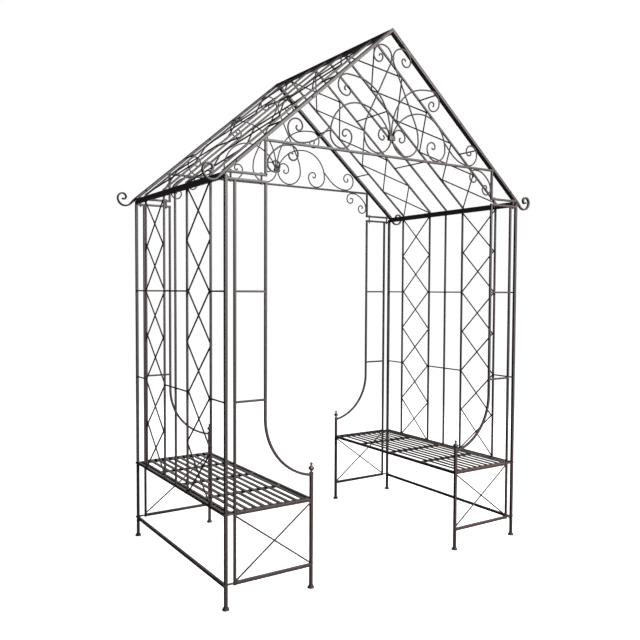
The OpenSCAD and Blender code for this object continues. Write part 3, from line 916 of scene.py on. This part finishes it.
def crest_rods():
    """The five rods of the crest's right half. Every scroll is sized by the triangle it fills."""
    nx, nz = math.sin(PITCH), math.cos(PITCH)
    base = TIE_TOP + ROD / 2 - SINK
    reach = APEX * nz - TUBE / 2 - ROD / 2 + SINK
    k = ((reach - nz * base) / nx - LAYER) / DRAWN_HALF_WIDTH

    def spare(p):
        """How far a point [x, z] lies under the rafter."""
        return reach - nx * p[0] - nz * p[1]

    def mm(*path):
        return [(r * k * MM, a) if r else (0, a * k * MM) for r, a in path]

    # the S piece: down and out round the lobe, up the leaning stem, over the top and into a spiral
    lobe, stem_r, lean = 86.5 * MM * k, 200 * MM * k, 27.0
    lobe_z = base + lobe
    start = lobe_z + 6 * MM * k
    c, s = math.cos(math.radians(lean)), math.sin(math.radians(lean))
    stem = (LAYER + 2 * lobe - stem_r * (1 - c), lobe_z + stem_r * s)
    # the top bend touches the rafter and ends at the middle, which sets its radius
    peak, fall = (reach - nx * LAYER) / nz, (1 + nx) / nz
    top_r = ((LAYER - stem[0]) * c + (peak - stem[1]) * s) / (1 - c + fall * s)
    top = (LAYER + top_r, peak - fall * top_r)
    stem_l = (stem[0] - top[0]) * s + (top[1] - stem[1]) * c
    path = [(0, 6 * MM * k), (lobe, 180), (stem_r, lean), (0, stem_l), (top_r, -180 - lean)]
    path += shares_of(top_r, (0.52, 0.46, 0.23, 0.155), -90)
    rods = [rod(gable_axes((LAYER, start), -90, -LAYER), path)]

    # the petal: up from the collar, out under the rafter and back in a spiral that touches it
    p = after((LAYER, start + 17 * MM * k), 90, 280 * MM * k, -35)
    p = after(p, 55, 220 * MM * k, -45)
    p = after(p, 10, 430 * MM * k, -10)
    petal = spare(p) / (1 - nz)
    path = mm((0, 17), (280, -35), (220, -45), (430, -10))
    path += shares_of(petal, (1, 0.83, 0.44, 0.39, 0.23), -90) + [(0.15 * petal, -70)]
    rods.append(rod(gable_axes((LAYER, start), 90, LAYER), path))

    # the large loop: over and down to the tie bar, then back in a spiral
    first = after((3 * LAYER, start + 2 * MM * k), 90, 60 * MM * k, -28)
    second = after(first, 62, 211 * MM * k, -62)
    third = after(second, 0, 169 * MM * k, -90)
    path = mm((0, 2), (60, -28), (211, -62), (169, -90)) + [(third[1] - base, -90)]
    path += mm((62, -90), (34, -90), (22, -90), (13, -90), (9, -70))
    rods.append(rod(gable_axes((3 * LAYER, start), 90, LAYER), path))

    # the outer branch: leaves the large loop, runs along the tie bar and curls up to the rafter
    root = after(second, 0, 169 * MM * k, -77)
    drop, eighth = 70 * MM * k, math.pi / 4
    corner = (root[0] + drop * math.cos(eighth), root[1] - drop * math.sin(eighth))
    low_r = (corner[1] - base) / (1 - math.cos(eighth))
    low = (corner[0] + low_r * math.sin(eighth), base)
    side = spare(low) / (1 + nz)
    path = [(0, drop), (low_r, 45), (side, 90)]
    path += shares_of(side, (0.73, 0.52, 0.34, 0.21), 90) + [(0.14 * side, 60)]
    rods.append(rod(gable_axes(root, -45, LAYER - 1 * MM), path))

    # the small centre curl
    path = mm((0, 2), (36, -90), (38, -90), (24, -90), (13, -90), (9, -70))
    rods.append(rod(gable_axes((3 * LAYER, start), 90, -LAYER), path))
    return rods, start, top[1], k


def collar(size, centre):
    """A wrapped band with rounded edges and a groove round its middle."""
    obj = start_primitive(bpy.ops.mesh.primitive_cube_add, size=1)
    bpy.ops.transform.resize(value=size)
    round_edges(1.2 * MM, 3)
    groove = 0.06 * size[2]
    for z in (-groove, groove):
        pick_all()
        bpy.ops.mesh.bisect(plane_co=(0, 0, z), plane_no=(0, 0, 1))
    pick_faces(obj, lambda f: abs(f.calc_center_median().z) < groove and abs(f.normal.z) < 0.5)
    bpy.ops.mesh.inset(thickness=0.2 * MM, depth=-0.8 * MM, use_even_offset=True)
    return place(obj, Matrix.Translation(centre))


class ARBOUR_OT_crests(bpy.types.Operator):
    """Build the scrollwork above the tie bars, with the collars that hold it"""

    bl_idname = "arbour.crests"
    bl_label = "Crest scrolls"

    def execute(self, context):
        rods, start, crossing, k = crest_rods()
        whole = with_mirror(joined(rods), ACROSS)
        low_size = (8 * LAYER + 4 * MM, 4 * LAYER + 4 * MM, 22 * MM * k)
        high_size = (4 * LAYER + 2 * MM, 2 * LAYER, 10 * MM)
        low = collar(low_size, (0, -POST_Y, start - 9 * MM * k))
        high = collar(high_size, (0, -POST_Y - LAYER - 1 * MM, crossing))
        settle_gables(joined([whole, low, high]), "crest_scroll", "crest")
        return {"FINISHED"}


class ARBOUR_OT_brackets(bpy.types.Operator):
    """Build the corner scrolls between the tie bars and the risers"""

    bl_idname = "arbour.brackets"
    bl_label = "Corner scrolls"

    def execute(self, context):
        flat = 12 * MM
        shoulder = [(100, -35), (190, -15), (70, -40)]
        p, heading = (flat, 0), 0
        for radius, turn in shoulder:
            p = after(p, heading, radius * MM, turn)
            heading += turn
        start = (ARM_X - LIGHT / 2 - ROD / 2 + SINK - p[0], TIE_LOW - ROD / 2 + SINK)
        inner = [(40, 90), (28, 90), (22, 90), (13, 90), (9, 60)]
        outer = shoulder + [(34, -90), (30, -90), (22, -90), (12, -90), (9, -60)]
        rods = [
            rod(gable_axes(start, 180), [(r * MM, a) for r, a in inner]),
            rod(gable_axes(start, 0), [(0, flat)] + [(r * MM, a) for r, a in outer]),
        ]
        settle_gables(with_mirror(joined(rods), ACROSS), "corner_scroll", "brackets")
        return {"FINISHED"}


# ---- small parts


def turned(rings, facets, corner):
    """A stack of outlines (half width, height) from the bottom up, with rounded sharp edges."""
    obj = start_primitive(
        bpy.ops.mesh.primitive_circle_add, vertices=facets, radius=rings[0][0],
        rotation=(0, 0, math.pi / facets))
    bpy.ops.transform.translate(value=(0, 0, rings[0][1]))
    for (wide, z), (next_wide, next_z) in zip(rings, rings[1:]):
        extrude((0, 0, next_z - z))
        share = next_wide / wide
        bpy.ops.transform.resize(value=(share, share, 1), center_override=(0, 0, next_z))
    close_ends()
    if corner:
        pick_edges(obj, lambda e: e.calc_face_angle() > math.radians(25))
        round_edges(corner, 2)
    return obj


# half widths across the flats and heights in millimetres, from the leg's top up
FINIAL_RINGS = (
    (8.5, 0), (8.5, 4.95), (6, 5.4), (3, 8.8), (12, 24.75), (3, 39.05), (6, 46.75), (1.44, 55))
# the foot's outline as shares of its half width and its height
FOOT_RINGS = ((0.97, 0), (1, 0.08), (1, 0.22), (0.93, 0.45), (0.84, 0.72), (0.80, 1))


class ARBOUR_OT_finials(bpy.types.Operator):
    """Build the diamond finials on the front legs"""

    bl_idname = "arbour.finials"
    bl_label = "Finials"

    def execute(self, context):
        corner = math.sqrt(2)
        obj = turned([(w * corner * MM, z * MM) for w, z in FINIAL_RINGS], 4, 0.5 * MM)
        one = place(obj, Matrix.Translation((LEG_X, -POST_Y, LEG_TOP)))
        settle(at_all_corners(one), "diamond_finials", FRAME, "finials")
        return {"FINISHED"}


class ARBOUR_OT_foot_caps(bpy.types.Operator):
    """Build the flared round feet and the caps on the tube ends"""

    bl_idname = "arbour.foot_caps"
    bl_label = "Feet and tube caps"

    def execute(self, context):
        obj = turned([(w * FOOT_WIDE, z * FOOT) for w, z in FOOT_RINGS], 32, 0)
        one = place(obj, Matrix.Identity(4))
        feet = [copied(one, move=(x, -POST_Y, 0)) for x in (POST_X, LEG_X)]
        bpy.data.objects.remove(one)
        settle(at_all_corners(joined(feet)), "flared_feet", FRAME, "foot_caps")

        caps = []
        for x, z, size in ((POST_X, EAVE, TUBE), (UPRIGHT_X, LOW - CAP_THICK, LIGHT)):
            cap = start_primitive(bpy.ops.mesh.primitive_cube_add, size=1)
            bpy.ops.transform.resize(value=(size, size, CAP_THICK))
            round_edges(0.6 * MM, 2)
            caps.append(place(cap, Matrix.Translation((x, -POST_Y, z + CAP_THICK / 2))))
        settle(at_all_corners(joined(caps)), "end_plugs", PLUGS, "tube_caps")
        return {"FINISHED"}


BOLT = 6 * MM
HEAD_WIDE = BOLT * 1.9
HEAD_TALL = 4 * MM
NUT_TALL = 5 * MM
WASHER_TALL = 1 * MM
THREAD_PAST_NUT = 3 * MM


def drum(facets, wide, tall, at, rounding=0.25 * MM):
    """An upright drum that starts at a height, with rounded rims."""
    obj = start_primitive(
        bpy.ops.mesh.primitive_cylinder_add, vertices=facets, radius=wide / 2, depth=tall,
        location=(0, 0, at + tall / 2))
    pick_edges(obj, lambda e: abs(e.verts[0].co.z - e.verts[1].co.z) < 1e-6)
    round_edges(rounding, 2)
    bpy.ops.object.mode_set(mode="OBJECT")
    return obj


def bolt(grip, point, along, sleeve=None):
    """A bolt with its head behind point, its nut beyond the grip and a sleeve (start, length)."""
    parts = [
        drum(6, HEAD_WIDE, HEAD_TALL - WASHER_TALL, -HEAD_TALL, 0.5 * MM),
        drum(20, HEAD_WIDE, WASHER_TALL, -WASHER_TALL),
        drum(20, BOLT, grip + NUT_TALL + THREAD_PAST_NUT, 0, 0.8 * MM),
        drum(20, HEAD_WIDE, WASHER_TALL, grip),
        drum(6, HEAD_WIDE, NUT_TALL - WASHER_TALL, grip + WASHER_TALL, 0.5 * MM),
    ]
    if sleeve:
        parts.append(drum(20, BOLT * 1.6, sleeve[1], sleeve[0]))
    obj = joined(parts)
    turn = Vector(along).to_track_quat("Z", "X").to_matrix().to_4x4()
    return place(obj, Matrix.Translation(Vector(point)) @ turn)


class ARBOUR_OT_bolts(bpy.types.Operator):
    """Build the bolts, with their washers, nuts and sleeves"""

    bl_idname = "arbour.bolts"
    bl_label = "Bolts"

    def execute(self, context):
        gap = POST_X - UPRIGHT_X
        seat_z = SEAT_FRAME - TUBE / 2
        sleeve = (LIGHT, gap - LIGHT / 2 - TUBE / 2)
        frame_bolts = at_all_corners(joined([
            bolt(gap + LIGHT / 2 + TUBE / 2, (UPRIGHT_X - LIGHT / 2, -POST_Y, z), (1, 0, 0), sleeve)
            for z in (LOW + TUBE / 2, seat_z)
        ]))
        settle(frame_bolts, "upright_bolts", HARDWARE, "frame_bolts")

        top = RISER_FOOT + LIGHT
        sleeve = (LIGHT, RISER_FOOT - TOP_BAR - LIGHT)
        gable = at_all_corners(joined([
            bolt(top - TOP_BAR, (x, -POST_Y, top), (0, 0, -1), sleeve)
            for x in (ARM_X + 22 * MM, (UPRIGHT_X + POST_X) / 2 - 2 * MM)
        ]))
        settle(gable, "riser_bolts", HARDWARE, "gable_bolts")

        one = bolt(2 * TUBE, (0, -POST_Y - TUBE / 2, 0), (0, 1, 0))
        places = (90 * MM, SLOPE_EAVE * 0.515, SLOPE_EAVE - 70 * MM)
        roof = at_all_corners(joined([copied(one, move=on_slope(s)) for s in places]))
        settle(roof, "rafter_bolts", HARDWARE, "roof_bolts")

        ends = [copied(one, move=(x, 0, seat_z)) for x in (LEG_X + 60 * MM, BACK_X - 60 * MM)]
        bpy.data.objects.remove(one)
        space = POST_X - BACK_X - TUBE
        back = bolt(2 * TUBE + space, (POST_X + TUBE / 2, 0, seat_z), (-1, 0, 0), (TUBE, space))
        backs = joined([copied(back, move=(0, s * POST_Y, 0)) for s in SEAT_BOLT_SHARES])
        bpy.data.objects.remove(back)
        seats = joined([at_all_corners(joined(ends)), with_mirror(backs, ACROSS)])
        settle(seats, "bench_bolts", HARDWARE, "seat_bolts")
        return {"FINISHED"}


class ARBOUR_OT_welds(bpy.types.Operator):
    """Build the small weld beads where the rods and bars meet"""

    bl_idname = "arbour.welds"
    bl_label = "Weld beads"

    def execute(self, context):
        size = context.scene.arbour_shapes.weld_size
        obj = start_primitive(
            bpy.ops.mesh.primitive_uv_sphere_add, segments=8, ring_count=5, radius=size / 2)
        bpy.ops.transform.resize(value=(0.42, 0.42, 1))
        bead = place(obj, Matrix.Identity(4))

        edges = (COLUMN_FOOT, BAR_OUT - BAR / 2)
        side, roof = PANEL_RISE / SIDE_CELLS, SLOPE_RUN / ROOF_CELLS
        spots = [(POST_X, y, SEAT_FRAME + i * side) for i in range(1, SIDE_CELLS) for y in edges]
        spots += [on_slope(SLOPE_RIDGE + i * roof, y) for i in range(1, ROOF_CELLS) for y in edges]
        row = joined([copied(bead, move=spot) for spot in spots])
        bpy.data.objects.remove(bead)
        beads = at_all_corners(row)
        only(beads)
        beads.name = beads.data.name = "weld_beads"
        beads.data.materials.append(bpy.data.materials["weld_coat"])
        bpy.ops.object.shade_smooth()
        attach(beads, "root")
        return {"FINISHED"}


# ---- the stage

LIGHTS = (
    # name, place, size in metres, power in watts
    ("key_light", (1.4, -4.4, 3.2), 1.8, 330),
    ("top_light", (0.6, -0.5, 6.5), 3.0, 60),
    ("side_light", (4.6, 1.2, 2.2), 2.4, 60),
    ("back_light", (1.6, 5.0, 1.8), 2.4, 25),
)
LIT_POINT = Vector((0, 0, 1.3))
CAMERA_PLACE = (-2.3284, -3.4754, 1.4428)
CAMERA_LENS = 40.27
# degrees: the turn to the right of straight ahead, the tilt down and the roll
CAMERA_TURN, CAMERA_TILT, CAMERA_ROLL = 33.30, 2.31, 0.27


class ARBOUR_OT_stage(bpy.types.Operator):
    """Build the pale floor, the soft lights and the camera"""

    bl_idname = "arbour.stage"
    bl_label = "Stage"

    def execute(self, context):
        bpy.ops.object.select_all(action="DESELECT")
        bpy.ops.mesh.primitive_plane_add(size=60, location=(0, 0, 0))
        floor = context.object
        floor.name = "floor"
        pale = bpy.data.materials.new("pale_floor")
        pale.use_nodes = True
        shader = pale.node_tree.nodes["Principled BSDF"]
        shader.inputs["Base Color"].default_value = (0.9, 0.9, 0.9, 1)
        shader.inputs["Roughness"].default_value = 0.9
        shader.inputs["Specular IOR Level"].default_value = 0.1
        shader.inputs["Emission Color"].default_value = (1, 1, 1, 1)
        shader.inputs["Emission Strength"].default_value = 0.94
        floor.data.materials.append(pale)
        floor.visible_diffuse = floor.visible_glossy = False

        world = bpy.data.worlds.new("studio")
        context.scene.world = world
        world.use_nodes = True
        tree = world.node_tree
        tree.nodes.clear()
        # the backdrop is white to the camera and lights the piece only a little
        light_path = tree.nodes.new("ShaderNodeLightPath")
        blend = tree.nodes.new("ShaderNodeMixShader")
        tree.links.new(light_path.outputs["Is Camera Ray"], blend.inputs[0])
        for index, strength in ((1, 0.07), (2, 1.0)):
            background = tree.nodes.new("ShaderNodeBackground")
            background.inputs["Color"].default_value = (1, 1, 1, 1)
            background.inputs["Strength"].default_value = strength
            tree.links.new(background.outputs[0], blend.inputs[index])
        tree.links.new(blend.outputs[0], tree.nodes.new("ShaderNodeOutputWorld").inputs[0])

        for name, spot, size, watts in LIGHTS:
            lamp = bpy.data.lights.new(name, "AREA")
            lamp.size, lamp.energy = size, watts
            holder = bpy.data.objects.new(name, lamp)
            context.scene.collection.objects.link(holder)
            holder.location = spot
            aim = (LIT_POINT - Vector(spot)).to_track_quat("-Z", "Y")
            holder.rotation_euler = aim.to_euler()

        lens = bpy.data.cameras.new("view")
        lens.sensor_width, lens.lens = 36, CAMERA_LENS
        camera = bpy.data.objects.new("view", lens)
        context.scene.collection.objects.link(camera)
        camera.location = CAMERA_PLACE
        turns = ((-CAMERA_TURN, "Z"), (90 - CAMERA_TILT, "X"), (CAMERA_ROLL, "Z"))
        turn = Matrix.Identity(4)
        for degrees, axis in turns:
            turn = turn @ Matrix.Rotation(math.radians(degrees), 4, axis)
        camera.rotation_euler = turn.to_euler()
        context.scene.camera = camera
        context.scene.view_settings.view_transform = "Standard"
        return {"FINISHED"}


# ---- the add-on


BUILD_ORDER = (
    ARBOUR_OT_finishes, ARBOUR_OT_posts, ARBOUR_OT_arms, ARBOUR_OT_end_rails,
    ARBOUR_OT_side_panels, ARBOUR_OT_benches, ARBOUR_OT_roof_panels, ARBOUR_OT_rafters,
    ARBOUR_OT_gable_bars, ARBOUR_OT_crests, ARBOUR_OT_brackets, ARBOUR_OT_finials,
    ARBOUR_OT_foot_caps, ARBOUR_OT_bolts, ARBOUR_OT_welds, ARBOUR_OT_stage,
)


class ARBOUR_PT_sidebar(bpy.types.Panel):
    bl_idname = "ARBOUR_PT_sidebar"
    bl_label = "Trellis arbour"
    bl_space_type = "VIEW_3D"
    bl_region_type = "UI"
    bl_category = "Arbour"

    def draw(self, context):
        for group in (context.scene.arbour_shapes, context.scene.arbour_finish):
            box = self.layout.box()
            for name in group.bl_rna.properties.keys():
                if name not in ("rna_type", "name"):
                    box.prop(group, name)
        for operator in BUILD_ORDER:
            self.layout.operator(operator.bl_idname)


CLASSES = (ArbourShapes, ArbourFinish, *BUILD_ORDER, ARBOUR_PT_sidebar)


def register():
    for cls in CLASSES:
        bpy.utils.register_class(cls)
    bpy.types.Scene.arbour_shapes = bpy.props.PointerProperty(type=ArbourShapes)
    bpy.types.Scene.arbour_finish = bpy.props.PointerProperty(type=ArbourFinish)


def unregister():
    del bpy.types.Scene.arbour_finish
    del bpy.types.Scene.arbour_shapes
    for cls in reversed(CLASSES):
        bpy.utils.unregister_class(cls)


def main():
    register()
    for operator in BUILD_ORDER:
        module, name = operator.bl_idname.split(".")
        getattr(getattr(bpy.ops, module), name)()


if __name__ == "__main__":
    main()
